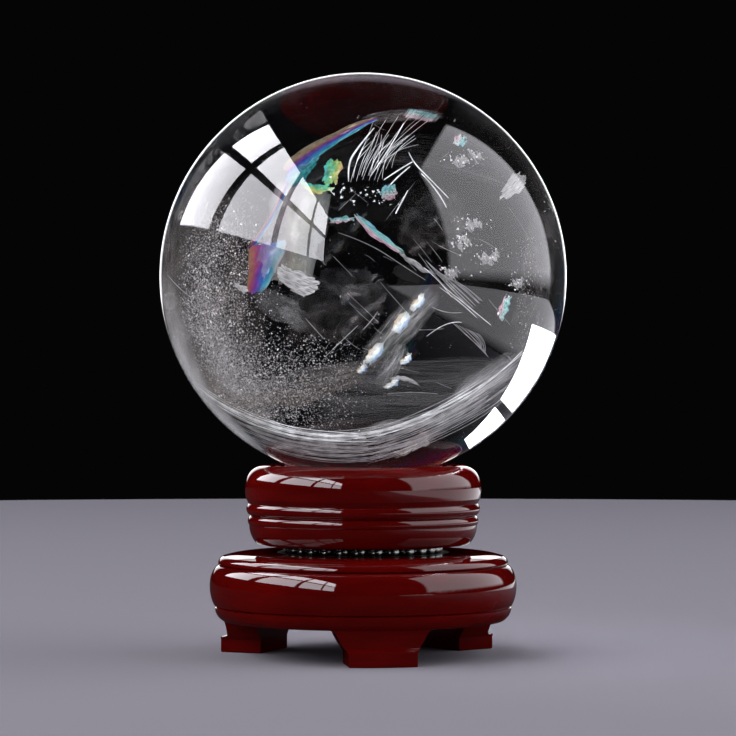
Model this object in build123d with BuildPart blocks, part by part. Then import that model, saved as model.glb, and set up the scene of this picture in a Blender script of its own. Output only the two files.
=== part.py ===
"""Crystal sphere on a two-tier turned stand whose upper tier turns on a ball race.

Frame: origin on the floor under the ball's centre, +Z up, the front at -Y. Millimetres.
"""

import os
from math import acos, asin, cos, degrees, pi, sin, sqrt

from build123d import *

os.makedirs("parts", exist_ok=True)

# Crystal ball
sphere_diameter = 100.0

# Lower tier: heights of its turned members, from the floor up
foot_height = 8.6
band_height = 3.2           # plain band under the V-groove
groove_height = 0.55
belly_lower_height = 4.75   # from the widest line down to the groove
belly_upper_height = 5.1    # from the widest line up to the quirk
quirk_height = 0.3
dome_height = 2.7           # shoulder above the quirk

# Lower tier: radii and depths
base_radius = 37.75         # widest line
belly_bulge = 2.75          # how far the belly stands out from its springing
belly_lower_radius = 6.0    # vertical half axis of the belly's lower curve
groove_depth = 1.6          # from the widest line in to the groove's root
band_inset = 1.25           # the band's top edge, in from the widest line
underside_inset = 3.15
shoulder_inset = 2.05
shoulder_width = 1.3
shoulder_drop = 0.9
dome_width = 6.1
quirk_inset = 2.5

# Feet, carved from the same blank as the lower tier
foot_count = 3
first_foot_angle = -82.0
toe_height = 3.9
toe_half_width = 8.2
shank_half_width = 10.7     # just below the small flare under the tier
foot_flare = 1.9
flare_height = 1.4
foot_length = 11.7          # from the toe inwards
toe_inset = 2.05            # the toe and the shank, in from the tier's widest line
shank_inset = 3.85
cove_depth = 0.35
edge_round = 0.35

# Upper tier: heights of its turned members, from its top down
roll_height = 5.4
waist_height = 2.8
waist_taper = 0.25
neck_height = 1.3
upper_bead_height = 2.9
lower_bead_height = 2.3
hem_height = 4.1            # plain tapering band below the beads
heel_height = 0.7           # rounded bottom edge

# Upper tier: radii and depths
cup_radius = 29.1           # widest line of the roll
roll_width = 5.0
crown_width = 3.9           # flat top of the rim
lip_radius = 7.0            # rounded inner lip that the ball rests on
upper_notch_depth = 0.9     # the three notches, in from the widest line
middle_notch_depth = 1.4
lower_notch_depth = 1.05
upper_crest_depth = 0.35
lower_crest_depth = 0.7
hem_taper = 1.35
heel_width = 1.1
seat_gap = 0.02             # between the ball and the lip
dish_relief = 0.4           # between the ball and the dish inside the lip

# Swivel bearing
race_gap = 2.0              # daylight between the two tiers
ball_diameter = 4.0
ball_spacing = 0.08         # free space between neighbouring balls
bearing_wall = 4.4          # least wood between the plates' edge and the cup's heel
running_clearance = 0.05
plate_thickness = 1.0
plate_margin = 3.6          # plate outside the ball circle
recess_clearance = 0.15
rivet_radius = 4.5
rivet_wall = 1.0
rivet_flange_width = 2.0
rivet_flange_thickness = 0.8
pocket_clearance = 0.5

# Countersunk screws
screw_count = 3
screw_land = 1.172          # flat plate between the screw heads and the ball groove's back
screw_length = 8.0
screw_radius = 1.3
screw_head_radius = 2.4
screw_fit = 0.02
cross_width = 0.5
cross_depth = 0.8
cup_screw_angle = 90.0
base_screw_angle = 30.0
access_hole_radius = 2.8

# Levels
base_underside = foot_height
band_top = base_underside + band_height
belly_bottom = band_top + groove_height
belly_widest = belly_bottom + belly_lower_height
belly_top = belly_widest + belly_upper_height
shoulder_bottom = belly_top + quirk_height
base_top = shoulder_bottom + dome_height
ball_level = base_top + race_gap / 2
cup_bottom = base_top + race_gap
hem_bottom = cup_bottom + heel_height
lower_notch = hem_bottom + hem_height
middle_notch = lower_notch + lower_bead_height
upper_notch = middle_notch + upper_bead_height
waist_bottom = upper_notch + neck_height
roll_widest = waist_bottom + waist_height
cup_top = roll_widest + roll_height

# Foot radii
toe_radius = base_radius - toe_inset
shank_radius = base_radius - shank_inset
foot_inner_radius = toe_radius - foot_length

# The ball rests on the round of the lip
sphere_radius = sphere_diameter / 2
crown_radius = cup_radius - roll_width
lip_centre_radius = crown_radius - crown_width
lip_centre_level = cup_top - lip_radius
reach = sphere_radius + seat_gap + lip_radius
sphere_level = lip_centre_level + sqrt(reach**2 - lip_centre_radius**2)
dish_radius = sphere_radius + dish_relief
contact_angle = asin(lip_centre_radius / reach)
lip_turn = acos((reach**2 + lip_radius**2 - dish_radius**2) / (2 * reach * lip_radius))
lip_end = contact_angle + lip_turn

# Bearing: as many balls as the cup has room for
ball_radius = ball_diameter / 2
heel_radius = cup_radius - lower_notch_depth - hem_taper - heel_width
ball_circle_limit = heel_radius - bearing_wall - plate_margin
ball_count = int(pi / asin((ball_diameter + ball_spacing) / 2 / ball_circle_limit))
ball_circle_radius = (ball_diameter + ball_spacing) / (2 * sin(pi / ball_count))
groove_radius = ball_radius + running_clearance
groove_back_radius = groove_radius + plate_thickness
plate_radius = ball_circle_radius + plate_margin
plate_offset = race_gap / 2                 # the plates' facing sides, from the ball level
plate_back = plate_offset + plate_thickness
recess_radius = plate_radius + recess_clearance
rivet_flange_radius = rivet_radius + rivet_flange_width
channel_half_width = groove_back_radius + recess_clearance
channel_back = groove_back_radius + recess_clearance
screw_circle_radius = ball_circle_radius - channel_half_width - screw_land - screw_head_radius
pocket_radius = rivet_flange_radius + pocket_clearance
pocket_back = plate_back + running_clearance + rivet_flange_thickness + pocket_clearance


def ring(inner_radius, outer_radius, low, high, mode=Mode.SUBTRACT):
    """A plain ring about the vertical axis, added to or cut from the open part."""
    with BuildSketch(Plane.XZ) as section:
        with Locations(((inner_radius + outer_radius) / 2, (low + high) / 2)):
            Rectangle(outer_radius - inner_radius, high - low)
    revolve(section.sketch, axis=Axis.Z, mode=mode)


def bearing_recess(side):
    """Cut a tier's seat for its race plate. side is +1 in the cup and -1 in the base."""
    for inner_radius, outer_radius, back in (
        (0, recess_radius, plate_back),
        (ball_circle_radius - channel_half_width, ball_circle_radius + channel_half_width, channel_back),
        (0, pocket_radius, pocket_back),
    ):
        levels = sorted((ball_level, ball_level + side * back))
        ring(inner_radius, outer_radius, *levels)


def race_plate(side, bore_radius):
    """A pressed plate: a flat sheet with a groove for the balls, of one thickness throughout."""
    face = plate_offset
    face_half_width = sqrt(groove_radius**2 - face**2)
    back_half_width = sqrt(groove_back_radius**2 - plate_back**2)
    with BuildSketch(Plane.XZ) as section:
        with BuildLine():
            plate_points = [
                (ball_circle_radius - face_half_width, ball_level + side * face),
                (bore_radius, ball_level + side * face),
                (bore_radius, ball_level + side * plate_back),
                (ball_circle_radius - back_half_width, ball_level + side * plate_back),
            ]
            Polyline(plate_points)
            ThreePointArc(
                plate_points[-1],
                (ball_circle_radius, ball_level + side * groove_back_radius),
                (ball_circle_radius + back_half_width, ball_level + side * plate_back),
            )
            Polyline(
                (ball_circle_radius + back_half_width, ball_level + side * plate_back),
                (plate_radius, ball_level + side * plate_back),
                (plate_radius, ball_level + side * face),
                (ball_circle_radius + face_half_width, ball_level + side * face),
            )
            ThreePointArc(
                (ball_circle_radius + face_half_width, ball_level + side * face),
                (ball_circle_radius, ball_level + side * groove_radius),
                plate_points[0],
            )
        make_face()
    revolve(section.sketch, axis=Axis.Z)


def screw_plane(angle, side):
    """Plane on a plate's facing side at one screw, its normal pointing into the wood."""
    origin = Vector(screw_circle_radius, 0, 0).rotate(Axis.Z, angle)
    level = ball_level + side * plate_offset
    return Plane(origin=(origin.X, origin.Y, level), x_dir=(1, 0, 0), z_dir=(0, 0, side))


def screw_body(plane, growth, mode=Mode.ADD):
    """Countersunk screw standing on the plane, head flush with it, enlarged by growth."""
    head = screw_head_radius + growth
    shank = screw_radius + growth
    upright = Plane(origin=plane.origin, x_dir=plane.x_dir, z_dir=plane.x_dir.cross(plane.z_dir))
    with BuildSketch(upright) as section:
        with BuildLine():
            Polyline(
                (0, 0),
                (head, 0),
                (shank, head - shank),
                (shank, screw_length - shank),
                (0, screw_length + growth),
                close=True,
            )
        make_face()
    revolve(section.sketch, axis=Axis(plane.origin, plane.z_dir), mode=mode)


def spread(first_angle, count):
    return [first_angle + number * 360 / count for number in range(count)]


cup_screw_planes = [screw_plane(angle, 1) for angle in spread(cup_screw_angle, screw_count)]
base_screw_planes = [screw_plane(angle, -1) for angle in spread(base_screw_angle, screw_count)]


# Crystal ball
with BuildPart() as crystal_sphere:
    with Locations((0, 0, sphere_level)):
        Sphere(sphere_radius)


# Upper tier, with the dished seat and two beads
with BuildPart() as seat_cup:
    with BuildSketch(Plane.XZ):
        with BuildLine():
            lip_foot = (
                lip_centre_radius - lip_radius * sin(lip_end),
                lip_centre_level + lip_radius * cos(lip_end),
            )
            lip_middle = (
                lip_centre_radius - lip_radius * sin(lip_end / 2),
                lip_centre_level + lip_radius * cos(lip_end / 2),
            )
            dish_turn = asin(lip_foot[0] / dish_radius) / 2
            dish_middle = (dish_radius * sin(dish_turn), sphere_level - dish_radius * cos(dish_turn))
            ThreePointArc((0, sphere_level - dish_radius), dish_middle, lip_foot)
            ThreePointArc(lip_foot, lip_middle, (lip_centre_radius, cup_top))
            Line((lip_centre_radius, cup_top), (crown_radius, cup_top))
            EllipticalCenterArc((crown_radius, roll_widest), roll_width, roll_height, arc_size=90)
            waist = TangentArc(
                (cup_radius, roll_widest), (cup_radius - waist_taper, waist_bottom), tangent=(0, -1)
            )
            notches = [
                (cup_radius - upper_notch_depth, upper_notch),
                (cup_radius - middle_notch_depth, middle_notch),
                (cup_radius - lower_notch_depth, lower_notch),
            ]
            Line(waist @ 1, notches[0])
            ThreePointArc(
                notches[0], (cup_radius - upper_crest_depth, (upper_notch + middle_notch) / 2), notches[1]
            )
            ThreePointArc(
                notches[1], (cup_radius - lower_crest_depth, (middle_notch + lower_notch) / 2), notches[2]
            )
            hem = TangentArc(
                notches[2], (cup_radius - lower_notch_depth - hem_taper, hem_bottom), tangent=(0, -1)
            )
            heel = TangentArc(
                hem @ 1, ((hem @ 1).X - heel_width, cup_bottom), tangent=((hem % 1).X, (hem % 1).Y)
            )
            Polyline(heel @ 1, (0, cup_bottom), (0, sphere_level - dish_radius))
        make_face()
    revolve(axis=Axis.Z)
    bearing_recess(1)
    for plane in cup_screw_planes:
        screw_body(plane, screw_fit, Mode.SUBTRACT)


# One foot, facing +X: a bracket outline across the foot, trimmed by a turned profile
with BuildPart() as foot:
    with BuildSketch(Plane.YZ.offset(foot_inner_radius)):
        with BuildLine():
            flare_level = foot_height - flare_height
            flare_end = (shank_half_width, flare_level)
            flare = TangentArc(
                (shank_half_width + foot_flare, foot_height), flare_end, tangent=(-1, 0)
            )
            side_middle = (
                (shank_half_width + toe_half_width) / 2 + cove_depth, (flare_level + toe_height) / 2
            )
            ThreePointArc(flare_end, side_middle, (toe_half_width, toe_height - 2 * cove_depth))
            Polyline(
                (toe_half_width, toe_height - 2 * cove_depth), (toe_half_width, 0), (0, 0), (0, foot_height),
                (shank_half_width + foot_flare, foot_height),
            )
        make_face()
        mirror(about=Plane.YZ)
    extrude(amount=base_radius - foot_inner_radius)
    with BuildSketch(Plane.XZ):
        with BuildLine():
            shank = ThreePointArc(
                (base_radius - underside_inset, foot_height),
                ((base_radius - underside_inset + shank_radius) / 2 - cove_depth / 2,
                 (foot_height + toe_height) / 2 + cove_depth),
                (shank_radius, toe_height + cove_depth),
            )
            toe_top = ThreePointArc(
                shank @ 1, (shank_radius + cove_depth, toe_height), (toe_radius - cove_depth, toe_height)
            )
            toe_edge = TangentArc(
                toe_top @ 1, (toe_radius, toe_height - cove_depth), tangent=(1, 0)
            )
            Polyline(
                toe_edge @ 1, (toe_radius, 0), (0, 0), (0, foot_height),
                (base_radius - underside_inset, foot_height),
            )
        make_face()
    revolve(axis=Axis.Z, mode=Mode.INTERSECT)
    fillet(foot.faces().sort_by(Axis.Z)[0].edges(), edge_round)


# Lower tier with its feet, the bearing's recess and the hole for driving the cup's screws
with BuildPart() as base:
    with BuildSketch(Plane.XZ):
        with BuildLine():
            spring_radius = base_radius - belly_bulge
            band = TangentArc(
                (base_radius - band_inset, band_top),
                (base_radius - underside_inset, base_underside),
                tangent=(0, -1),
            )
            lower_angle = degrees(asin(belly_lower_height / belly_lower_radius))
            belly_low = EllipticalCenterArc(
                (spring_radius, belly_widest), belly_bulge, belly_lower_radius, -lower_angle, arc_size=lower_angle
            )
            groove_root = (base_radius - groove_depth, band_top + groove_height / 2)
            Polyline(belly_low @ 0, groove_root, band @ 0)
            quirk_angle = degrees(acos((belly_bulge - quirk_inset) / belly_bulge))
            belly_high = EllipticalCenterArc(
                (spring_radius, belly_widest), belly_bulge, belly_upper_height, arc_size=quirk_angle
            )
            shoulder_radius = base_radius - shoulder_inset
            shoulder_top = (shoulder_radius - shoulder_width, base_top - shoulder_drop)
            dome = TangentArc((shoulder_top[0] - dome_width, base_top), shoulder_top, tangent=(1, 0))
            shoulder = TangentArc(
                dome @ 1, (shoulder_radius, shoulder_bottom), tangent=((dome % 1).X, (dome % 1).Y)
            )
            Line(shoulder @ 1, belly_high @ 1)
            Polyline(band @ 1, (0, base_underside), (0, base_top), dome @ 0)
        make_face()
    revolve(axis=Axis.Z)
    with PolarLocations(0, foot_count, start_angle=first_foot_angle):
        add(foot.part)
    bearing_recess(-1)
    for plane in base_screw_planes:
        screw_body(plane, screw_fit, Mode.SUBTRACT)
    with PolarLocations(screw_circle_radius, 1, start_angle=cup_screw_angle):
        Cylinder(access_hole_radius, 3 * base_top, mode=Mode.SUBTRACT)


# Race plates, countersunk for their screws
with BuildPart() as upper_race:
    race_plate(1, rivet_radius + running_clearance)
    for plane in cup_screw_planes:
        screw_body(plane, screw_fit, Mode.SUBTRACT)

with BuildPart() as lower_race:
    race_plate(-1, rivet_radius + screw_fit)
    for plane in base_screw_planes:
        screw_body(plane, screw_fit, Mode.SUBTRACT)
    with PolarLocations(screw_circle_radius, 1, start_angle=cup_screw_angle):
        Cylinder(access_hole_radius, 3 * base_top, mode=Mode.SUBTRACT)


# Tubular rivet: fast in the lower plate, running in the upper one
with BuildPart() as pivot_rivet:
    upper_flange = ball_level + plate_back + running_clearance
    lower_flange = ball_level - plate_back - screw_fit
    rivet_top = upper_flange + rivet_flange_thickness
    rivet_bottom = lower_flange - rivet_flange_thickness
    ring(0, rivet_radius, rivet_bottom, rivet_top, Mode.ADD)
    ring(0, rivet_flange_radius, upper_flange, rivet_top, Mode.ADD)
    ring(0, rivet_flange_radius, rivet_bottom, lower_flange, Mode.ADD)
    ring(0, rivet_radius - rivet_wall, rivet_bottom, rivet_top)
    bore_rims = pivot_rivet.edges().filter_by(GeomType.CIRCLE).filter_by(
        lambda edge: abs(edge.radius - (rivet_radius - rivet_wall)) < running_clearance
    )
    fillet(bore_rims, rivet_flange_thickness / 2)


named_parts = {
    "crystal_sphere": crystal_sphere,
    "seat_cup": seat_cup,
    "base": base,
    "upper_race": upper_race,
    "lower_race": lower_race,
    "pivot_rivet": pivot_rivet,
}

# Screws
for group_name, planes in (("cup_screw", cup_screw_planes), ("base_screw", base_screw_planes)):
    for number, plane in enumerate(planes, start=1):
        with BuildPart() as screw:
            screw_body(plane, 0)
            with BuildSketch(plane):
                Rectangle(2 * screw_radius, cross_width)
                Rectangle(cross_width, 2 * screw_radius)
            extrude(amount=cross_depth, mode=Mode.SUBTRACT)
        named_parts[f"{group_name}_{number}"] = screw

# Bearing balls
for number, angle in enumerate(spread(0, ball_count), start=1):
    centre = Vector(ball_circle_radius, 0, ball_level).rotate(Axis.Z, angle)
    with BuildPart() as bearing_ball:
        with Locations(centre):
            Sphere(ball_radius)
    named_parts[f"ball_{number:02d}"] = bearing_ball

for name, builder in named_parts.items():
    builder.part.label = name
    export_step(builder.part, f"parts/{name}.step")
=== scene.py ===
import math
import random

import bpy
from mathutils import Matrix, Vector, noise


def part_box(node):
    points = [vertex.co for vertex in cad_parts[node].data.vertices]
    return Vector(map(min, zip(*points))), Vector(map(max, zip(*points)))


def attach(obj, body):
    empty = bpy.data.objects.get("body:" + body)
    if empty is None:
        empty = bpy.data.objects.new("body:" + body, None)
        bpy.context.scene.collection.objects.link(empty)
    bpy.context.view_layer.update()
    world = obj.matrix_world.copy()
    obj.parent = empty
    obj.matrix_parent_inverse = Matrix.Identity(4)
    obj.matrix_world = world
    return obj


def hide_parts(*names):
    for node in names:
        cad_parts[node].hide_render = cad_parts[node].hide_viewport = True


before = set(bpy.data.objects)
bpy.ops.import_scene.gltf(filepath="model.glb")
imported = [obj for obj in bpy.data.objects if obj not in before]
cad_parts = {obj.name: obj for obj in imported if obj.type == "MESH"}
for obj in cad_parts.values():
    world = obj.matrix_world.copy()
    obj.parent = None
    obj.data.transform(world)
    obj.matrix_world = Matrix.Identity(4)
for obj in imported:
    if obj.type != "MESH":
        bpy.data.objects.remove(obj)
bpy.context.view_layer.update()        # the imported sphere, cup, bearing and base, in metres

print("frame loaded:", len(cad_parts), "nodes")


class Link:              # one socket, with the arithmetic of a Math node on it
    def __init__(self, sheet, socket):
        self.sheet = sheet
        self.socket = socket

    def maths(self, operation, first, second=None):
        values = {0: first} if second is None else {0: first, 1: second}
        return self.sheet.node("ShaderNodeMath", {"operation": operation}, values)

    def __add__(self, other):
        return self.maths("ADD", self, other)

    def __radd__(self, other):
        return self.maths("ADD", other, self)

    def __sub__(self, other):
        return self.maths("SUBTRACT", self, other)

    def __rsub__(self, other):
        return self.maths("SUBTRACT", other, self)

    def __mul__(self, other):
        return self.maths("MULTIPLY", self, other)

    def __rmul__(self, other):
        return self.maths("MULTIPLY", other, self)

    def __truediv__(self, other):
        return self.maths("DIVIDE", self, other)

    def __pow__(self, other):
        return self.maths("POWER", self, other)

    def __abs__(self):
        return self.maths("ABSOLUTE", self)

    def clipped(self):
        return self.maths("MINIMUM", self.maths("MAXIMUM", self, 0.0), 1.0)


class Sheet:             # one material and its nodes
    def __init__(self, name):
        self.material = bpy.data.materials.new(name)
        self.material.use_nodes = True
        self.tree = self.material.node_tree
        self.tree.nodes.clear()

    def node(self, kind, settings=None, sockets=None, out=0):
        made = self.tree.nodes.new(kind)
        for key, value in (settings or {}).items():
            if key == "stops":
                self.fillRamp(made.color_ramp, value)
            else:
                setattr(made, key, value)
        for key, value in (sockets or {}).items():
            if isinstance(value, Link):
                self.tree.links.new(value.socket, made.inputs[key])
            else:
                made.inputs[key].default_value = value
        outlet = made.outputs[out]
        return Link(self, outlet)

    def fillRamp(self, ramp, stops):
        while len(ramp.elements) < len(stops):
            ramp.elements.new(0.5)
        for element, (place, colour) in zip(ramp.elements, stops):
            element.position = place
            element.color = (*colour, 1.0)

    def objectPlace(self):
        return self.node("ShaderNodeTexCoord", out="Object")

    def uvPlace(self):
        return self.node("ShaderNodeTexCoord", out="UV")

    def stretched(self, place, scale, turn=(0, 0, 0)):
        return self.node("ShaderNodeMapping", {}, {"Vector": place, "Scale": scale, "Rotation": turn})

    def cloud(self, place, scale, detail=4.0, rough=0.55):
        return self.node("ShaderNodeTexNoise", {}, {"Vector": place, "Scale": scale, "Detail": detail,
                                                    "Roughness": rough})

    def part(self, place, axis):
        return self.node("ShaderNodeSeparateXYZ", {}, {0: place}, out=axis)

    def ramp(self, value, stops):
        return self.node("ShaderNodeValToRGB", {"stops": stops}, {0: value})

    def mixColours(self, amount, first, second):
        made = self.tree.nodes.new("ShaderNodeMix")
        made.data_type = "RGBA"
        for index, value in ((0, amount), (6, first), (7, second)):
            if isinstance(value, Link):
                self.tree.links.new(value.socket, made.inputs[index])
            else:
                made.inputs[index].default_value = value if index == 0 else (*value, 1.0)
        return Link(self, made.outputs[2])

    def finish(self, shader):
        output = self.tree.nodes.new("ShaderNodeOutputMaterial")
        self.tree.links.new(shader.socket, output.inputs["Surface"])
        return self.material


lacquerLook = {"red": (0.155, 0.0030, 0.0020), "deepRed": (0.080, 0.0012, 0.0010), "grainScale": 90,
               "coatRoughness": 0.03, "ripple": 0.05}


def lacquerFinish():
    sheet = Sheet("dark red gloss lacquer")
    place = sheet.objectPlace()
    grain = sheet.cloud(sheet.stretched(place, (1, 1, 6)), lacquerLook["grainScale"], 6.0)
    patches = sheet.cloud(place, 28.0, 2.0)
    tone = (grain * 0.55 + patches * 0.6 - 0.25).clipped()
    colour = sheet.ramp(tone, [(0.15, lacquerLook["deepRed"]), (0.75, lacquerLook["red"])])
    ripple = sheet.cloud(place, 260.0, 1.0)
    bump = sheet.node("ShaderNodeBump", {}, {"Strength": lacquerLook["ripple"], "Distance": 0.0004,
                                             "Height": ripple})
    shader = sheet.node("ShaderNodeBsdfPrincipled", {}, {
        "Base Color": colour, "Roughness": 0.34 + grain * 0.16, "Specular IOR Level": 0.0,
        "Coat Weight": 1.0,
        "Coat Roughness": lacquerLook["coatRoughness"], "Coat IOR": 1.45, "Normal": bump})
    return sheet.finish(shader)


def steelFinish(name, colour, low, spread, oil):
    sheet = Sheet(name)
    place = sheet.objectPlace()
    smear = sheet.cloud(place, 900.0, 3.0)
    tint = sheet.mixColours((smear * 1.6 - 0.4).clipped(), colour, oil)
    shader = sheet.node("ShaderNodeBsdfPrincipled", {}, {
        "Base Color": tint, "Metallic": 1.0, "Roughness": low + smear * spread})
    return sheet.finish(shader)


def quartzFinish():
    sheet = Sheet("clear polished quartz")
    clear = sheet.node("ShaderNodeBsdfPrincipled", {}, {
        "Base Color": (0.985, 0.985, 0.99, 1.0), "Roughness": 0.0, "IOR": 1.545,
        "Transmission Weight": 1.0})
    passing = sheet.node("ShaderNodeBsdfTransparent", {}, {"Color": (0.93, 0.93, 0.94, 1.0)})
    shadowRay = sheet.node("ShaderNodeLightPath", out="Is Shadow Ray")
    return sheet.finish(sheet.node("ShaderNodeMixShader", {}, {0: shadowRay, 1: clear, 2: passing}))


def filmFinish(name, stops, streaks=(3.0, 3.0), cover=0.5, softness=0.3, glow=0.3, waver=0.25, rough=0.25,
               fade=0.35, contrast=3.2):
    # a thin crack: colours run across it (V), and noise stretched along it breaks it up
    sheet = Sheet(name)
    uv = sheet.uvPlace()
    across = sheet.part(uv, "Y")
    along = sheet.part(uv, "X")
    wobble = sheet.cloud(sheet.stretched(uv, (1.5, 1.5, 1)), 2.2, 3.0)
    colour = sheet.ramp((across + (wobble - 0.5) * waver * 2).clipped(), stops)
    torn = sheet.cloud(sheet.stretched(uv, (*streaks, 1)), 2.0, 6.0, 0.62)
    edge = ((0.5 - abs(across - 0.5)) * 2 / fade).clipped() * ((0.5 - abs(along - 0.5)) * 2 / fade).clipped()
    alpha = ((torn * edge ** 0.5 - (1.0 - cover) * 0.62) / softness).clipped()
    crease = sheet.cloud(sheet.stretched(uv, (streaks[0] * 2.6, streaks[1] * 2.6, 1)), 2.4, 5.0, 0.6)
    shade = ((crease - 0.5) * contrast + 0.5 + 0.14 * contrast / 3.2).clipped()
    lit = sheet.mixColours(shade, (0.03, 0.03, 0.032), colour)
    body = sheet.mixColours(0.65, lit, (0.0, 0.0, 0.0))
    # every film also glows by emission at strength glow: painted light standing in for light caught in the
    # crack, so it shines even with no lamp on it
    shader = sheet.node("ShaderNodeBsdfPrincipled", {}, {
        "Base Color": body, "Roughness": rough, "Emission Color": lit,
        "Emission Strength": glow, "Alpha": alpha})
    return sheet.finish(shader)


def plainGlint(name, colour, glow, rough=0.3):
    # flecks and hairline cracks: pale, slightly varied from one to the next by place
    sheet = Sheet(name)
    place = sheet.objectPlace()
    shade = sheet.cloud(place, 420.0, 2.0)
    tint = sheet.mixColours((shade * 2.2 - 0.6).clipped(), tuple(0.35 * part for part in colour), colour)
    # each also glows by emission at strength glow: painted glints, light painted into the flecks and cracks
    shader = sheet.node("ShaderNodeBsdfPrincipled", {}, {
        "Base Color": tint, "Roughness": rough, "Emission Color": tint, "Emission Strength": glow})
    return sheet.finish(shader)


ballLow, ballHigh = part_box("crystal_sphere")
ballCentre = (ballLow + ballHigh) / 2
ballRadius = (ballHigh.z - ballLow.z) / 2
insideLimit = 0.972      # nothing inside the ball comes nearer to its skin than this share of the radius


def inBall(x, y, z):     # a place in ball radii from the centre, in metres
    place = Vector((x, y, z))
    if place.length > insideLimit:
        place = place * (insideLimit / place.length)
    return ballCentre + place * ballRadius


def deselectAll():
    bpy.ops.object.select_all(action="DESELECT")


def settle(piece, name, material, body="turntable"):
    piece.name = name
    piece.data.materials.clear()
    piece.data.materials.append(material)
    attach(piece, body)
    return piece


def crackSheet(name, centre, along, across, finish, bend=0.0, crumple=0.02, torn=0.25, seed=1, cuts=36,
               square=0.0, taper=0.0):
    # a thin cleavage film: a grid, bent and crumpled, with a torn outline
    deselectAll()
    bpy.ops.mesh.primitive_grid_add(x_subdivisions=cuts, y_subdivisions=cuts, size=2, location=(0, 0, 0))
    piece = bpy.context.object
    centre, along, across = Vector(centre), Vector(along), Vector(across)
    outward = along.cross(across).normalized()
    bpy.ops.object.mode_set(mode="EDIT")
    bpy.ops.mesh.select_all(action="DESELECT")
    bpy.ops.mesh.select_mode(type="FACE")
    bpy.ops.object.mode_set(mode="OBJECT")
    for face in piece.data.polygons:
        s, t = face.center.x, face.center.y
        turn = math.atan2(t, s)
        raggedness = noise.noise(Vector((2.2 * math.cos(turn), 2.2 * math.sin(turn), seed * 7.3)))
        raggedness += 0.5 * noise.noise(Vector((6 * math.cos(turn), 6 * math.sin(turn), seed * 3.1)))
        power = 2 + square * 10
        reach = (abs(s) ** power + abs(t) ** power) ** (1 / power)
        face.select = reach > 1 - torn * (0.5 + raggedness)
    bpy.ops.object.mode_set(mode="EDIT")
    bpy.ops.mesh.delete(type="FACE")
    bpy.ops.object.mode_set(mode="OBJECT")
    for vertex in piece.data.vertices:
        s, t = vertex.co.x, vertex.co.y
        lift = bend * (s * s - 0.5) + crumple * noise.noise(Vector((3 * s, 3 * t, seed * 1.7)))
        t = t * (1 - taper * (s + 1) / 2)
        place = centre + along * s + across * t + outward * lift
        vertex.co = inBall(*place)
    for face in piece.data.polygons:
        face.use_smooth = True
    return settle(piece, name, finish)


def hairlines(name, routes, thickness, finish):
    # fine cracks seen edge-on: open curves with a hair's thickness, turned into one mesh
    deselectAll()
    bpy.ops.curve.primitive_nurbs_path_add(location=(0, 0, 0))
    piece = bpy.context.object
    piece.data.splines.clear()
    piece.data.bevel_depth = thickness
    piece.data.bevel_resolution = 0
    piece.data.use_fill_caps = True
    piece.data.resolution_u = 5
    for route in routes:
        spline = piece.data.splines.new("NURBS")
        spline.points.add(len(route) - 1)
        for number, (point, place) in enumerate(zip(spline.points, route)):
            point.co = (*inBall(*place), 1.0)
            point.radius = 0.25 + 0.75 * math.sin(math.pi * (number + 0.35) / (len(route) - 0.3))
        spline.use_endpoint_u = True
        spline.order_u = 3
    bpy.ops.object.convert(target="MESH")
    return settle(bpy.context.object, name, finish)


def flecks(name, count, place, size, finish, seed):
    # tiny flat chips of healed crack, each a three-sided flake turned at random
    dice = random.Random(seed)
    corners, faces = [], []
    while len(faces) < count:
        spot = place(dice)
        if spot is None:
            continue
        centre = inBall(*spot)
        width = size * dice.uniform(0.4, 1.3) ** 1.5
        side = Vector((dice.gauss(0, 1), dice.gauss(0, 1), dice.gauss(0, 1))).normalized()
        up = side.cross(Vector((dice.gauss(0, 1), dice.gauss(0, 1), dice.gauss(0, 1)))).normalized()
        first = len(corners)
        corners += [centre + side * width, centre - side * width * 0.6 + up * width * 0.7,
                    centre - side * width * 0.5 - up * width * 0.8]
        faces.append((first, first + 1, first + 2))
    mesh = bpy.data.meshes.new(name)
    mesh.from_pydata(corners, [], faces)
    piece = bpy.data.objects.new(name, mesh)
    bpy.context.scene.collection.objects.link(piece)
    return settle(piece, name, finish)


def makeBall():
    deselectAll()
    bpy.ops.mesh.primitive_ico_sphere_add(subdivisions=6, radius=ballRadius, location=(0, 0, 0))
    ball = bpy.context.object
    bpy.ops.object.mode_set(mode="EDIT")
    bpy.ops.mesh.select_all(action="SELECT")
    bpy.ops.mesh.subdivide(number_cuts=1)          # flat quarters, rounded next
    bpy.ops.object.mode_set(mode="OBJECT")
    rounding = ball.modifiers.new("rounding", "CAST")
    rounding.cast_type = "SPHERE"
    rounding.factor = 1.0
    rounding.use_radius_as_size = False
    rounding.size = ballRadius
    bpy.ops.object.modifier_apply(modifier="rounding")
    ball.location = ballCentre
    bpy.ops.object.transform_apply(location=True, rotation=True, scale=True)
    bpy.ops.object.shade_smooth()
    settle(ball, "clear_ball", quartzFinish())
    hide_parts("crystal_sphere")


makeBall()
print("ball made")

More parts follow.
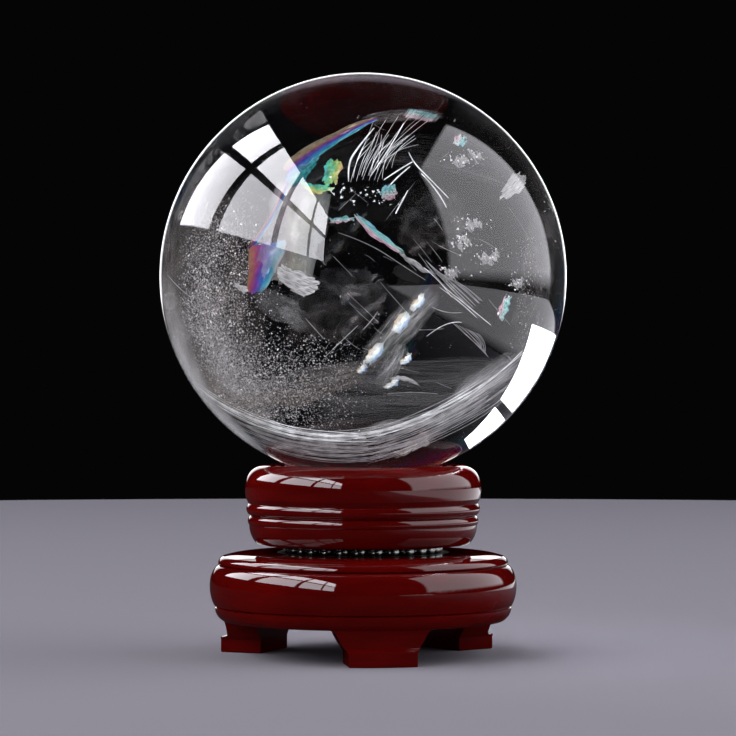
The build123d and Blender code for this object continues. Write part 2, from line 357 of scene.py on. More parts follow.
rainbowEdge = [(0.0, (0.10, 0.85, 0.80)), (0.22, (0.04, 0.45, 0.95)), (0.38, (0.08, 0.10, 0.75)),
               (0.52, (0.42, 0.06, 0.45)), (0.68, (0.55, 0.36, 0.18)), (1.0, (0.42, 0.36, 0.30))]
greenGold = [(0.0, (0.95, 0.60, 0.35)), (0.2, (0.85, 0.90, 0.25)), (0.5, (0.30, 0.85, 0.35)),
             (0.8, (0.12, 0.75, 0.60)), (1.0, (0.10, 0.60, 0.80))]
cyanPink = [(0.0, (0.90, 0.35, 0.55)), (0.35, (0.85, 0.80, 0.85)), (0.65, (0.35, 0.90, 0.90)),
            (1.0, (0.20, 0.55, 0.85))]
fire = [(0.0, (0.60, 0.36, 0.16)), (0.22, (0.65, 0.12, 0.20)), (0.42, (0.30, 0.06, 0.65)),
        (0.62, (0.05, 0.25, 0.95)), (0.82, (0.10, 0.70, 0.95)), (1.0, (0.80, 0.90, 0.95))]
pastel = [(0.0, (0.85, 0.80, 0.92)), (0.35, (0.95, 0.84, 0.88)), (0.6, (0.95, 0.93, 0.80)),
          (1.0, (0.82, 0.88, 0.95))]
milk = [(0.0, (0.72, 0.70, 0.72)), (0.5, (0.88, 0.87, 0.90)), (1.0, (0.95, 0.95, 0.97))]
smoke = [(0.0, (0.45, 0.36, 0.32)), (0.5, (0.55, 0.50, 0.50)), (1.0, (0.50, 0.50, 0.54))]
warmVeil = [(0.0, (0.62, 0.50, 0.44)), (0.5, (0.80, 0.72, 0.68)), (1.0, (0.90, 0.89, 0.92))]


def makeFilms():
    wedge = filmFinish("rainbow wedge film", rainbowEdge, (2.5, 1.0), 0.93, 0.35, 0.42, 0.10, 0.2, 0.16,
                       1.4)
    crackSheet("gold_wedge", (-0.135, -0.42, 0.525), (0.20, 0.03, 0.125), (-0.012, -0.01, 0.055), wedge,
               0.03, 0.01, 0.12, 3, square=0.4, taper=0.75)
    faint = filmFinish("faint brown film", smoke, (2.0, 4.0), 0.66, 0.9, 0.14, 0.3)
    crackSheet("faint_crest", (0.16, -0.33, 0.64), (0.20, 0.02, 0.035), (0.0, 0.02, 0.035), faint, -0.03,
               0.02, 0.2, 8)
    green = filmFinish("green gold film", greenGold, (0.8, 0.8), 0.98, 0.25, 0.62, 0.5, 0.2, 0.06, 1.6)
    crackSheet("green_flake", (-0.125, -0.49, 0.405), (0.014, 0.0, 0.066), (-0.040, 0.01, 0.0), green, 0.01,
               0.015, 0.28, 5, square=0.2)
    crackSheet("green_shelf", (-0.185, -0.50, 0.345), (0.080, 0.0, -0.012), (0.005, 0.03, 0.020), green,
               0.02, 0.015, 0.4, 6)
    cyan = filmFinish("cyan film", cyanPink, (2.0, 2.0), 0.82, 0.4, 0.42, 0.3, 0.2, 0.12, 2.6)
    crackSheet("cyan_facet", (0.105, -0.54, 0.325), (0.040, 0.0, 0.018), (-0.012, 0.01, 0.036), cyan, 0.01,
               0.02, 0.3, 7)
    teal = filmFinish("teal fill film", [(0.0, (0.02, 0.30, 0.42)), (0.5, (0.05, 0.62, 0.62)), (1.0,
                                                                                                (0.25,
                                                                                                 0.30,
                                                                                                 0.75))],
                      (1.2, 1.2), 0.95, 0.5, 0.42, 0.4, 0.2, 0.12, 2.2)
    crackSheet("cyan_web", (-0.235, -0.47, 0.415), (0.060, 0.0, 0.040), (0.012, 0.02, 0.055), teal, 0.02,
               0.03, 0.3, 21, taper=0.3)
    comb = filmFinish("comb film", cyanPink, (20.0, 0.4), 0.44, 0.12, 0.55, 0.25, 0.2, 0.5, 2.0)
    crackSheet("comb_tip", (0.235, -0.29, 0.640), (0.085, 0.0, -0.010), (0.024, 0.01, 0.034), comb, -0.03,
               0.005, 0.15, 9, square=0.4)
    ribbon = filmFinish("ribbon film", cyanPink, (1.2, 3.0), 0.86, 0.3, 0.55, 0.7, 0.2, 0.25, 2.0)
    crackSheet("rainbow_ribbon", (0.062, -0.57, 0.155), (0.105, 0.01, -0.085), (0.010, 0.02, 0.013), ribbon,
               0.015, 0.01, 0.2, 11)
    pale = filmFinish("pale ribbon film", milk, (1.0, 4.0), 0.80, 0.4, 0.26, 0.2, 0.3, 0.3)
    crackSheet("pale_ribbon", (0.215, -0.56, 0.035), (0.080, 0.01, -0.050), (0.005, 0.02, 0.009), pale,
               0.01, 0.01, 0.2, 12)
    crackSheet("cyan_start", (-0.09, -0.58, 0.215), (0.065, 0.0, 0.0), (0.004, 0.02, 0.012), cyan, 0.01,
               0.02,
               0.5, 13)


def makeLargeCleavage():
    glassy = filmFinish("pastel film", pastel, (0.9, 0.8), 0.95, 1.2, 0.60, 0.5, 0.25, 0.3, 1.2)
    crackSheet("pastel_facet", (-0.285, -0.49, 0.15), (0.05, 0.03, 0.22), (0.135, 0.02, -0.03), glassy,
               0.03, 0.03, 0.15, 15, square=0.3)
    burn = filmFinish("fire film", fire, (0.7, 0.7), 0.98, 0.4, 0.50, 0.16, 0.2, 0.18, 0.9)
    crackSheet("fire_edge", (-0.410, -0.505, 0.020), (-0.030, 0.0, -0.110), (0.100, 0.02, 0.010), burn,
               -0.03, 0.012, 0.12, 16, square=0.4, taper=0.55)
    arcFilm = filmFinish("arc film", fire, (0.6, 0.6), 0.98, 0.4, 0.36, 0.10, 0.2, 0.3, 0.8)
    crackSheet("fire_arc", (-0.375, -0.500, 0.235), (0.085, 0.0, 0.150), (0.016, 0.01, -0.008), arcFilm,
               0.03, 0.005,
               0.05, 23, square=0.3, taper=0.5)
    folds = filmFinish("white fold film", milk, (0.8, 5.0), 0.86, 0.4, 0.50, 0.2, 0.25, 0.2, 2.8)
    crackSheet("white_folds", (-0.265, -0.56, -0.030), (0.100, 0.0, -0.040), (0.02, 0.03, 0.046), folds,
               0.03, 0.02, 0.2, 17)
    crackSheet("white_hook", (-0.490, -0.47, -0.055), (0.045, 0.0, -0.018), (0.006, 0.02, 0.016), folds,
               0.02, 0.01, 0.3, 18)
    tail = filmFinish("grey tail film", milk, (0.8, 1.2), 0.68, 1.1, 0.14, 0.2, contrast=1.6)
    crackSheet("grey_tail", (-0.345, -0.54, -0.135), (0.115, 0.0, -0.060), (0.030, 0.02, 0.060), tail,
               0.02, 0.02, 0.2, 19)
    crackSheet("grey_leg", (-0.285, -0.56, -0.19), (0.055, 0.0, -0.06), (0.03, 0.01, 0.02), tail, 0.01,
               0.02,
               0.2, 20)


def makeSmoky():
    streak = filmFinish("smoky streak film", milk, (1.0, 2.4), 0.72, 1.0, 0.85, 0.2, fade=0.9, contrast=3.0)
    crackSheet("smoky_streak", (0.150, -0.55, -0.225), (0.160, 0.02, 0.175), (0.062, 0.0, -0.048), streak,
               0.03, 0.05, 0.1, 31)
    crackSheet("smoky_foot", (0.115, -0.52, -0.38), (0.055, 0.0, 0.11), (0.045, 0.0, -0.018), streak, 0.03,
               0.04, 0.15, 32)
    dispersed = [(0.0, (0.05, 0.25, 0.95)), (0.25, (0.65, 0.85, 1.0)), (0.6, (1.0, 1.0, 1.0)),
                 (0.85, (1.0, 0.92, 0.75)), (1.0, (0.9, 0.5, 0.2))]
    # these spots glow at strength 2.2 in colours from blue through white to orange: painted light, the
    # brightest in the ball, for light caught in these cracks
    spot = filmFinish("bright spot film", dispersed, (0.8, 0.8), 1.10, 0.75, 2.2, 0.2, 0.3, 0.9, 0.6)
    spots = [("spot_left", (0.045, -0.565, -0.330), 0.050, 0.052), ("spot_low", (0.120, -0.485, -0.445),
                                                                    0.040, 0.034),
             ("spot_high", (0.225, -0.575, -0.120), 0.036, 0.040), ("spot_mid", (0.155, -0.590, -0.205),
                                                                    0.045, 0.050),
             ("spot_blue", (0.175, -0.520, -0.350), 0.030, 0.026), ("spot_corner", (-0.005, -0.555,
                                                                                    -0.395), 0.024, 0.026)]
    for number, (name, centre, wide, tall) in enumerate(spots):
        crackSheet(name, centre, (0.75 * wide, 0.0, 0.95 * tall), (-0.5 * wide, 0.01, 0.3 * tall), spot,
                   0.01, 0.02,
                   0.25, 40 + number, 24)
    tongue = filmFinish("white tongue film", milk, (1.0, 3.0), 0.85, 0.4, 0.45, 0.2, 0.3, 0.4, 1.5)
    crackSheet("white_tongue", (0.175, -0.51, -0.445), (0.070, 0.0, -0.022), (0.004, 0.02, 0.014), tongue,
               -0.02, 0.01, 0.2, 47, taper=0.8)
    dusk = filmFinish("dusky film", smoke, (1.6, 1.2), 0.56, 1.6, 0.06, 0.4)
    crackSheet("dusky_middle", (-0.10, -0.35, -0.12), (0.24, 0.0, 0.03), (0.03, 0.04, 0.17), dusk, 0.04,
               0.05,
               0.3, 33)
    crackSheet("dusky_right", (0.27, -0.40, 0.20), (0.16, 0.03, 0.02), (0.02, 0.03, 0.15), dusk, 0.04, 0.05,
               0.3, 34)


def makeVeils():
    # long striated veils that sweep round the bottom of the ball
    band = filmFinish("striated veil", milk, (1.2, 15.0), 0.44, 0.9, 0.10, 0.3, 0.4, 0.3)
    warm = filmFinish("warm veil", warmVeil, (1.5, 5.0), 0.60, 0.9, 0.26, 0.4, 0.4, 0.4)
    sweeps = [("low_veil_front", 0.585, -0.50, -115, 12, 0.090, band), ("low_veil_mid", 0.66, -0.43,
                                                                        -105, 25, 0.075, band),
              ("low_veil_back", 0.52, -0.58, -125, 10, 0.080, band), ("low_veil_warm", 0.66, -0.53,
                                                                      -165, -78, 0.075, warm),
              ("low_veil_floor", 0.42, -0.70, -160, -20, 0.070, band)]
    for number, (name, radius, level, start, end, height, finish) in enumerate(sweeps):
        veilBand(name, radius, level, start, end, height, finish, 60 + number)
    glowing = filmFinish("pale veil glow", milk, (1.2, 4.0), 0.80, 1.1, 0.62, 0.2, 0.4, 0.7, 2.4)
    crackSheet("veil_glow_right", (0.50, -0.40, -0.50), (0.20, 0.06, 0.16), (-0.05, 0.05, 0.10),
               glowing, -0.05, 0.02,
               0.1, 66)
    crackSheet("veil_glow_middle", (0.15, -0.42, -0.66), (0.26, 0.03, 0.045), (0.0, 0.05, 0.055),
               glowing, -0.05, 0.02,
               0.1, 67)
    crackSheet("veil_glow_left", (-0.52, -0.28, -0.52), (0.16, -0.05, -0.13), (0.06, 0.05, 0.09), warm,
               0.03, 0.03,
               0.1, 68)
    wedge = filmFinish("white wedge film", milk, (1.0, 1.0), 0.92, 0.4, 0.30, 0.2, 0.3, 0.15, 2.0)
    crackSheet("low_wedge", (-0.150, -0.27, -0.68), (0.052, 0.0, -0.040), (0.030, 0.02, 0.030), wedge, 0.01,
               0.02, 0.35, 71, taper=0.5)
    pink = filmFinish("pink flake film", [(0.0, (0.70, 0.35, 0.35)), (0.4, (0.85, 0.72, 0.66)), (1.0,
                                                                                                 (0.95,
                                                                                                  0.92,
                                                                                                  0.95))],
                      (2.5, 2.0), 0.72, 0.5, 0.3, 0.4, 0.3, 0.2)
    crackSheet("pink_flake", (0.215, -0.22, -0.68), (0.085, 0.0, 0.075), (0.028, 0.02, -0.034), pink, 0.02,
               0.04, 0.45, 72)


def veilBand(name, radius, level, start, end, height, finish, seed, cuts=48):
    # part of a tilted ring: start and end are degrees round the vertical, -90 being the front
    deselectAll()
    bpy.ops.mesh.primitive_grid_add(x_subdivisions=cuts, y_subdivisions=8, size=2, location=(0, 0, 0))
    piece = bpy.context.object
    for vertex in piece.data.vertices:
        s, t = (vertex.co.x + 1) / 2, vertex.co.y
        turn = math.radians(start + (end - start) * s)
        wave = 0.03 * noise.noise(Vector((4 * s, t, seed)))
        rise = 0.30 * max(0.0, s - 0.35) ** 1.6
        spread = radius + 0.05 * t + wave
        vertex.co = inBall(spread * math.cos(turn), spread * math.sin(turn),
                           level + height * t + rise + wave)
    for face in piece.data.polygons:
        face.use_smooth = True
    return settle(piece, name, finish)


makeFilms()
makeLargeCleavage()
makeSmoky()
makeVeils()
print("films and veils made")


def makeCracks():
    silver = plainGlint("silver crack edges", (0.92, 0.94, 0.97), 0.55)
    dull = plainGlint("dull crack edges", (0.55, 0.54, 0.56), 0.12)
    dice = random.Random(4)
    fan = []
    for number in range(24):         # from a common root, spreading up to the comb
        share = min(1.0, max(0.0, number / 23 + dice.uniform(-0.05, 0.05)))
        root = (-0.050 + 0.13 * share, -0.54, 0.365 + 0.02 * dice.random())
        knee = (0.000 + 0.15 * share, -0.47, 0.49 + 0.03 * dice.random())
        tip = (0.040 + 0.26 * share + 0.02 * dice.random(), -0.35, 0.615 + 0.03 * math.sin(math.pi * share))
        if number % 4:
            tip = tuple(a + (b - a) * dice.uniform(0.05, 0.6) for a, b in zip(knee, tip))
            root = tuple(a + (b - a) * dice.uniform(0.0, 0.7) for a, b in zip(root, knee))
        fan.append([root, ((root[0] + knee[0]) / 2 - 0.008, -0.51, (root[2] + knee[2]) / 2), knee, tip])
    hairlines("silver_fan", fan, 0.000065, silver)
    hairlines("fan_spine", [[(-0.058, -0.54, 0.37), (-0.062, -0.50, 0.44), (-0.025, -0.45, 0.50),
                             (0.045, -0.40, 0.59)],
                            [(0.03, -0.52, 0.39), (0.11, -0.43, 0.50), (0.165, -0.36, 0.61)]], 0.00022,
                            silver)
    branch = [[(0.185, -0.45, 0.49), (0.200, -0.47, 0.45), (0.270, -0.48, 0.38), (0.340, -0.45, 0.30)],
              [(0.200, -0.47, 0.45), (0.150, -0.49, 0.42), (0.085, -0.52, 0.375)],
              [(0.190, -0.48, 0.43), (0.130, -0.50, 0.38), (0.100, -0.52, 0.34)],
              [(0.130, -0.53, 0.235), (0.150, -0.53, 0.275), (0.180, -0.51, 0.33)],
              [(0.235, -0.47, 0.40), (0.300, -0.46, 0.33), (0.330, -0.45, 0.26)]]
    hairlines("white_branches", branch, 0.00020, silver)
    cracks = []
    for number in range(12):         # the long crack that runs down to the right
        offset = 0.009 * number + dice.uniform(-0.012, 0.012)
        cracks.append([(0.235 + offset, -0.55, 0.065 - 0.9 * offset), (0.32 + offset * 0.8, -0.53,
                                                                       -0.05 + 0.2 * offset),
                       (0.42 + offset * 0.5 + 0.02 * dice.random(), -0.47, -0.15 + 0.4 * offset)])
    for number in range(9):          # its fan of faint ribs lower down
        offset = 0.014 * number
        tail = dice.uniform(0.2, 1.0)
        cracks.append([(0.36 + offset, -0.48, -0.20 - 0.006 * number), (0.44 + offset * 0.6, -0.44,
                                                                        -0.26 - 0.02 * tail),
                       (0.46 + 0.06 * tail, -0.40, -0.27 - 0.08 * tail)])
    cracks += [[(-0.155, -0.55, -0.345), (-0.09, -0.57, -0.28), (-0.02, -0.58, -0.215)],
               [(0.0, -0.60, -0.235), (0.035, -0.60, -0.20), (0.06, -0.60, -0.16)],
               [(-0.235, -0.57, -0.185), (-0.20, -0.57, -0.225), (-0.16, -0.57, -0.27)],
               [(-0.85, -0.20, 0.0), (-0.78, -0.22, -0.04), (-0.70, -0.26, -0.09)],
               [(-0.10, -0.58, 0.16), (0.02, -0.585, 0.12), (0.17, -0.56, 0.02), (0.25, -0.54, -0.03)],
               [(0.10, -0.50, -0.50), (0.20, -0.49, -0.485), (0.31, -0.45, -0.50)],
               [(0.28, -0.56, -0.14), (0.34, -0.53, -0.17), (0.40, -0.50, -0.16)],
               [(0.23, -0.57, -0.235), (0.29, -0.56, -0.235), (0.33, -0.55, -0.23)]]
    hairlines("dull_cracks", cracks, 0.00008, dull)
    bright = [[(0.245, -0.56, 0.02), (0.31, -0.55, -0.03), (0.36, -0.53, -0.10)],
              [(0.31, -0.54, -0.06), (0.41, -0.49, -0.13), (0.46, -0.46, -0.18)],
              [(0.33, -0.53, -0.06), (0.43, -0.48, -0.14), (0.52, -0.42, -0.21)],
              [(0.40, -0.49, -0.20), (0.34, -0.52, -0.19), (0.26, -0.55, -0.26)]]
    hairlines("bright_cracks", bright, 0.00009, silver)
    strays = []
    for number in range(38):         # short cracks scattered through the middle and the right
        x, z = dice.gauss(0.16, 0.22), dice.gauss(0.06, 0.24)
        lean = dice.choice((-1.1, -0.75, -0.5, 1.1)) + dice.uniform(-0.3, 0.3)
        length = 0.03 + 0.10 * dice.random() ** 2
        y = -0.52 + 0.25 * (x * x + z * z) + dice.uniform(-0.03, 0.03)
        strays.append([(x, y, z), (x + 0.5 * length, y, z + 0.5 * length * lean + dice.uniform(-0.008,
                                                                                               0.008)),
                       (x + length, y, z + length * lean)])
    hairlines("stray_cracks", strays, 0.00004, dull)

    def fanRoot(dice):
        share = dice.random()
        return (-0.13 + 0.25 * share + dice.gauss(0, 0.02), -0.52, 0.335 - 0.05 * share + dice.gauss(0,
                                                                                                     0.018))

    flecks("fan_root_chips", 60, fanRoot, 0.00032, silver, 17)
    sweep = [(-0.66, -0.06, -0.44), (-0.45, -0.19, -0.56), (-0.25, -0.29, -0.635), (0.03, -0.35, -0.655),
             (0.31, -0.38, -0.545), (0.50, -0.32, -0.42), (0.66, -0.22, -0.28)]
    for name, count, thickness, finish, low in (("veil_streaks_bright", 26, 0.00013, silver, 0.03),
                                                ("veil_streaks_dull", 90, 0.00009, dull, 0.16)):
        streaks = []
        for number in range(count):
            first = dice.randrange(0, 4)
            last = min(6, first + dice.randrange(2, 4))
            drop = low * dice.random()
            lean = dice.uniform(-0.02, 0.02)
            streaks.append([(x + dice.uniform(-0.03, 0.03), y + 0.5 * drop, z - drop + lean)
                            for x, y, z in sweep[first:last + 1]])
        hairlines(name, streaks, thickness, finish)


def makeRightSide():
    white = filmFinish("white feather film", milk, (1.0, 6.0), 0.88, 0.3, 0.45, 0.2, 0.3, 0.3)
    crackSheet("feather", (0.615, -0.27, 0.365), (0.100, 0.01, 0.080), (0.016, 0.01, -0.026), white,
               0.02, 0.01, 0.3, 81,
               taper=-0.6)
    bits = filmFinish("broken white film", milk, (3.0, 3.0), 0.50, 0.3, 0.30, 0.3)
    chips = plainGlint("bright chips", (0.85, 0.84, 0.86), 0.35, 0.4)
    places = [((0.385, -0.35, 0.455), 0.045), ((0.455, -0.32, 0.485), 0.025), ((0.44, -0.45, 0.20), 0.050),
              ((0.40, -0.50, 0.13), 0.035), ((0.50, -0.40, 0.07), 0.055), ((0.35, -0.53, 0.0), 0.035),
              ((0.80, -0.05, 0.30), 0.060), ((0.845, 0.0, 0.12), 0.060), ((0.62, -0.33, -0.03), 0.035)]
    for number, (centre, size) in enumerate(places):
        crackSheet(f"white_bit_{number + 1}", centre, (size, 0.0, 0.01), (0.3 * size, 0.02,
                                                                          0.30 * size), bits, 0.02, 0.05,
                   0.5, 83 + number, 24)

    def nearBits(dice):
        (x, y, z), size = dice.choice(places)
        return (x + dice.gauss(0, 0.9 * size), y + dice.gauss(0, 0.02), z + dice.gauss(0, 0.45 * size))

    flecks("right_chips", 420, nearBits, 0.00030, chips, 15)
    gem = filmFinish("rainbow bit film", cyanPink, (2.0, 2.0), 0.80, 0.3, 0.55, 0.6)
    crackSheet("rainbow_bit_high", (0.395, -0.33, 0.545), (0.030, 0.0, 0.035), (0.025, 0.01, -0.02),
               gem, 0.01, 0.03, 0.5, 93, 24)
    crackSheet("rainbow_bit_right", (0.575, -0.40, -0.140), (0.020, 0.0, 0.058), (0.028, 0.01, -0.006),
               gem, 0.02, 0.05, 0.5,
               94, 24)
    rim = filmFinish("rim haze film", smoke, (2.0, 2.0), 0.55, 1.2, 0.08, 0.3)
    crackSheet("rim_haze_right", (0.70, -0.20, 0.05), (0.06, 0.05, 0.30), (0.12, 0.08, -0.02), rim,
               0.05, 0.05, 0.3, 95)


def makeMist():
    mistFleck = plainGlint("mist flecks", (0.62, 0.60, 0.61), 0.10, 0.5)
    hazeFilm = filmFinish("mist haze film", warmVeil, (2.0, 2.0), 0.86, 1.7, 0.24, 0.3, 0.5, 0.8, 2.6)

    def leftCloud(dice):             # a thick slab down the left, with a sharp inner edge
        z = dice.triangular(-0.66, 0.34, -0.42)
        inner = -0.56 + 0.34 * max(0.0, -z) ** 1.3 + 0.05 * math.sin(9 * z)
        x = inner + dice.gauss(-0.12, 0.15)
        y = -0.34 + 0.5 * (x + 0.5) + dice.uniform(-0.12, 0.12)
        spot = (x, y, z)
        return spot if Vector(spot).length < 0.95 else None

    def lowCloud(dice):              # thinner, darker speckle towards the middle
        spot = (dice.gauss(-0.24, 0.11), -0.50 + dice.uniform(-0.06, 0.10), dice.gauss(-0.42, 0.12))
        return spot if -0.66 < spot[2] < -0.25 and Vector(spot).length < 0.93 else None

    def rightSpeckle(dice):
        spot = (dice.gauss(0.66, 0.035), -0.28 + dice.uniform(-0.08, 0.08), dice.uniform(-0.30, 0.15))
        return spot

    def everywhere(dice):
        spot = (dice.uniform(-0.8, 0.8), dice.uniform(-0.6, 0.7), dice.uniform(-0.7, 0.7))
        return spot if Vector(spot).length < 0.92 else None

    flecks("left_mist", 26000, leftCloud, 0.00016, mistFleck, 11)
    flecks("left_sparks", 1500, leftCloud, 0.00026, plainGlint("mist sparks", (0.9, 0.89, 0.92), 0.4,
                                                               0.4), 16)
    flecks("low_mist", 2600, lowCloud, 0.00019, mistFleck, 12)
    flecks("right_speckle", 500, rightSpeckle, 0.00016, mistFleck, 13)
    flecks("stray_specks", 260, everywhere, 0.00013, mistFleck, 14)
    crackSheet("mist_haze", (-0.62, -0.20, -0.17), (0.04, 0.0, 0.52), (-0.26, 0.14, 0.0), hazeFilm,
               0.05, 0.05, 0.1, 97)
    crackSheet("mist_haze_low", (-0.56, -0.22, -0.46), (0.24, 0.0, -0.22), (0.14, 0.05, 0.16), hazeFilm,
               0.05, 0.05, 0.1,
               98)
    crackSheet("mist_haze_edge", (-0.80, 0.0, -0.12), (0.05, 0.0, 0.48), (-0.10, 0.14, 0.0), hazeFilm,
               0.05, 0.05, 0.1,
               99)


makeCracks()
makeRightSide()
makeMist()
print("cracks and mist made")


def dressStand():
    lacquer = lacquerFinish()
    race = steelFinish("oiled pressed steel", (0.20, 0.21, 0.19), 0.30, 0.25, (0.030, 0.038, 0.030))
    polished = steelFinish("polished bearing steel", (0.42, 0.43, 0.42), 0.10, 0.14, (0.10, 0.11, 0.09))
    plated = steelFinish("zinc plated steel", (0.55, 0.55, 0.53), 0.25, 0.20, (0.35, 0.34, 0.30))
    finishes = {"seat_cup": lacquer, "base": lacquer, "upper_race": race, "lower_race": race,
                "pivot_rivet": plated}
    for name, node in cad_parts.items():
        if name == "crystal_sphere":
            continue
        finish = finishes.get(name) or (polished if name.startswith("ball_") else plated)
        node.data.materials.clear()
        node.data.materials.append(finish)


dressStand()
print("stand finished")


stageLook = {"floorRadius": 0.90, "floorColour": (0.33, 0.315, 0.365), "nearRadius": 0.10,
             "paintedShadeThroughGlass": 0.006,
             "paintedShadeInGloss": 0.08}
windowLook = {"distance": 1.10, "paneHeight": 0.68, "rows": (0.77, 1.55), "columns": (0.63, -0.40,
                                                                                      -1.38, -2.35),
              "paneWidth": 0.88, "glint": (8.5, 14.0), "light": 2.6}
softboxLook = {"distance": 0.90, "width": 1.60, "height": 1.75, "centreY": -0.05, "centreZ": 0.92,
               "glint": 2.8, "through": 0.9,
               "light": 1.2}


def makeFloor():
    deselectAll()
    bpy.ops.mesh.primitive_circle_add(vertices=96, radius=stageLook["floorRadius"], fill_type="NGON")
    floor = bpy.context.object
    floor.name = "floor"
    sheet = Sheet("pale floor")
    place = sheet.objectPlace()
    reach = (sheet.part(place, "X") ** 2.0 + sheet.part(place, "Y") ** 2.0) ** 0.5
    near = ((stageLook["nearRadius"] - reach) / 0.02).clipped()
    # painted shade by ray type: seen through glass the floor is nearly black beyond nearRadius of the axis,
    # and seen in gloss it is dim left of x = 0.05; camera and lamps see it evenly pale
    through = sheet.node("ShaderNodeLightPath", out="Is Transmission Ray")
    mirrored = sheet.node("ShaderNodeLightPath", out="Is Glossy Ray")
    dark = tuple(part * stageLook["paintedShadeThroughGlass"] for part in stageLook["floorColour"])
    dim = tuple(part * stageLook["paintedShadeInGloss"] for part in stageLook["floorColour"])
    seen = sheet.mixColours(near, dark, stageLook["floorColour"])
    rightward = ((sheet.part(place, "X") - 0.05) / 0.12).clipped()
    inGloss = sheet.mixColours(rightward, dim, stageLook["floorColour"])
    colour = sheet.mixColours(through, sheet.mixColours(mirrored, stageLook["floorColour"], inGloss), seen)
    shader = sheet.node("ShaderNodeBsdfPrincipled", {}, {"Base Color": colour, "Roughness": 0.85,
                                                         "Specular IOR Level": 0.0})
    floor.data.materials.append(sheet.finish(shader))


def areaLamp(name, place, turn, width, height, strength):
    # lights the scene, but isn't seen in gloss or glass
    deselectAll()
    bpy.ops.object.light_add(type="AREA", location=place, rotation=turn)
    lamp = bpy.context.object
    lamp.name = name
    lamp.data.shape = "RECTANGLE"
    lamp.data.size = width
    lamp.data.size_y = height
    lamp.data.energy = strength * math.pi * width * height
    lamp.visible_camera = False
    lamp.visible_glossy = False
    lamp.visible_transmission = False


def glintPane(name, place, turn, width, height, strength, glossy=True, glass=True, softEdge=0.02):
    # a bright pane that is seen only in gloss or glass, and lights nothing else
    deselectAll()
    bpy.ops.mesh.primitive_plane_add(size=1, location=place, rotation=turn)
    pane = bpy.context.object
    pane.name = name
    pane.scale = (width, height, 1)
    sheet = Sheet(name)
    uv = sheet.uvPlace()
    edge = ((0.5 - abs(sheet.part(uv, "X") - 0.5)) / softEdge).clipped() * (
        (0.5 - abs(sheet.part(uv, "Y") - 0.5)) / softEdge).clipped()
    colour = sheet.mixColours(edge, (0.0, 0.0, 0.0), (0.95, 0.94, 1.0))
    pane.data.materials.append(sheet.finish(sheet.node("ShaderNodeBsdfPrincipled", {}, {
        "Base Color": (0.0, 0.0, 0.0, 1.0), "Specular IOR Level": 0.0, "Emission Color": colour,
        "Emission Strength": strength})))
    pane.visible_camera = False
    pane.visible_diffuse = False
    pane.visible_shadow = False
    pane.visible_glossy = glossy
    pane.visible_transmission = glass


def rimGlow():
    # a faint disc behind the ball, mirrored only by its outermost edge as two fine lines
    deselectAll()
    bpy.ops.mesh.primitive_circle_add(vertices=64, radius=0.42, fill_type="NGON", location=(0, 1.0,
                                                                                            ballCentre.z),
                                      rotation=(math.pi / 2, 0, 0))
    disc = bpy.context.object
    disc.name = "rim_glow"
    sheet = Sheet("rim glow")
    place = sheet.objectPlace()
    reach = (sheet.part(place, "X") ** 2.0 + sheet.part(place, "Y") ** 2.0) ** 0.5
    upper = ((sheet.part(place, "Y") + 0.02) / 0.03).clipped()
    ring = sheet.ramp(reach / 0.42, [(0.30, (0.0, 0.0, 0.0)), (0.36, (1.0, 1.0, 1.0)), (0.58, (0.9, 0.9,
                                                                                               0.92)),
                                       (0.70, (0.25, 0.25, 0.26)), (0.84, (0.5, 0.5, 0.52)), (1.0, (0.0,
                                                                                                    0.0,
                                                                                                    0.0))])
    colour = sheet.mixColours(upper, (0.0, 0.0, 0.0), ring)
    disc.data.materials.append(sheet.finish(sheet.node("ShaderNodeBsdfPrincipled", {}, {
        "Base Color": (0.0, 0.0, 0.0, 1.0), "Specular IOR Level": 0.0, "Emission Color": colour,
        "Emission Strength": 3.4})))
    disc.visible_camera = False
    disc.visible_diffuse = False
    disc.visible_shadow = False
    disc.visible_transmission = False


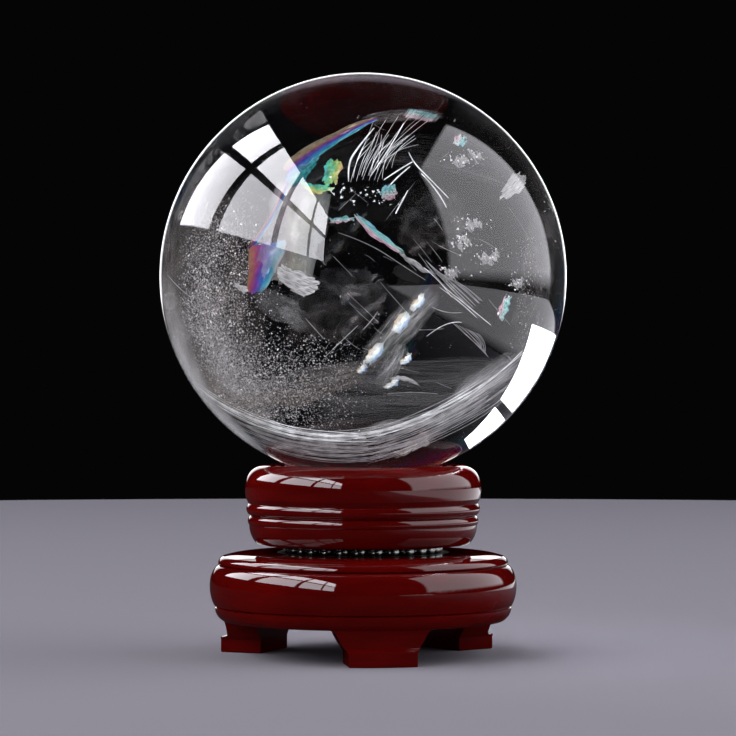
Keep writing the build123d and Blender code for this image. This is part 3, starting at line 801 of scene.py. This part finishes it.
def makeLamps():
    facingRight = (math.pi / 2, 0, math.pi / 2)
    facingLeft = (math.pi / 2, 0, -math.pi / 2)
    for row, level in enumerate(windowLook["rows"]):
        for column, along in enumerate(windowLook["columns"]):
            place = (-windowLook["distance"], along, level)
            glintPane(f"window_pane_{row}_{column}", place, facingRight, windowLook["paneWidth"],
                      windowLook["paneHeight"], windowLook["glint"][row])
    areaLamp("window_light", (-windowLook["distance"] - 0.02, -0.6, 1.1), (math.pi / 2, 0,
                                                                           -math.pi / 2), 2.8, 1.4,
             windowLook["light"])
    place = (softboxLook["distance"], softboxLook["centreY"], softboxLook["centreZ"])
    glintPane("softbox_mirrored", place, facingLeft, softboxLook["width"], softboxLook["height"],
              softboxLook["glint"], True, False, 0.05)
    glintPane("softbox_through", place, facingLeft, softboxLook["width"], softboxLook["height"],
              softboxLook["through"], False, True, 0.30)
    # floor_sheen is a painted reflection: a pane on the floor that glows only in gloss, so the lacquer
    # mirrors a bright floor on the right
    glintPane("floor_sheen", (0.53, -0.05, 0.002), (0, 0, 0), 0.74, 1.5, 1.7, True, False, 0.05)
    rimGlow()
    areaLamp("softbox_light", (softboxLook["distance"] + 0.02, -0.05, 0.92), (math.pi / 2, 0, math.pi / 2),
             softboxLook["width"], softboxLook["height"], softboxLook["light"])


def makeWorld():
    world = bpy.data.worlds.new("dark studio")
    bpy.context.scene.world = world
    world.use_nodes = True
    tree = world.node_tree
    tree.nodes.clear()
    path = tree.nodes.new("ShaderNodeLightPath")
    dark = tree.nodes.new("ShaderNodeBackground")
    dark.inputs["Color"].default_value = (0.0015, 0.0015, 0.0018, 1.0)
    fill = tree.nodes.new("ShaderNodeBackground")
    fill.inputs["Color"].default_value = (0.22, 0.22, 0.24, 1.0)
    mix = tree.nodes.new("ShaderNodeMixShader")
    output = tree.nodes.new("ShaderNodeOutputWorld")
    tree.links.new(path.outputs["Is Diffuse Ray"], mix.inputs[0])
    tree.links.new(dark.outputs[0], mix.inputs[1])
    tree.links.new(fill.outputs[0], mix.inputs[2])
    tree.links.new(mix.outputs[0], output.inputs["Surface"])


def makeCamera():
    camera = bpy.data.cameras.new("camera")
    camera.lens = 150
    camera.sensor_width = 36
    camera.clip_start = 0.01
    cameraObject = bpy.data.objects.new("camera", camera)
    bpy.context.scene.collection.objects.link(cameraObject)
    cameraObject.location = (0.0012, -0.7556, 0.0705)
    cameraObject.rotation_euler = (math.pi / 2, 0, 0)
    bpy.context.scene.camera = cameraObject


makeFloor()
makeLamps()
makeWorld()
makeCamera()
bpy.context.scene.view_settings.view_transform = "Standard"
print("stage set")
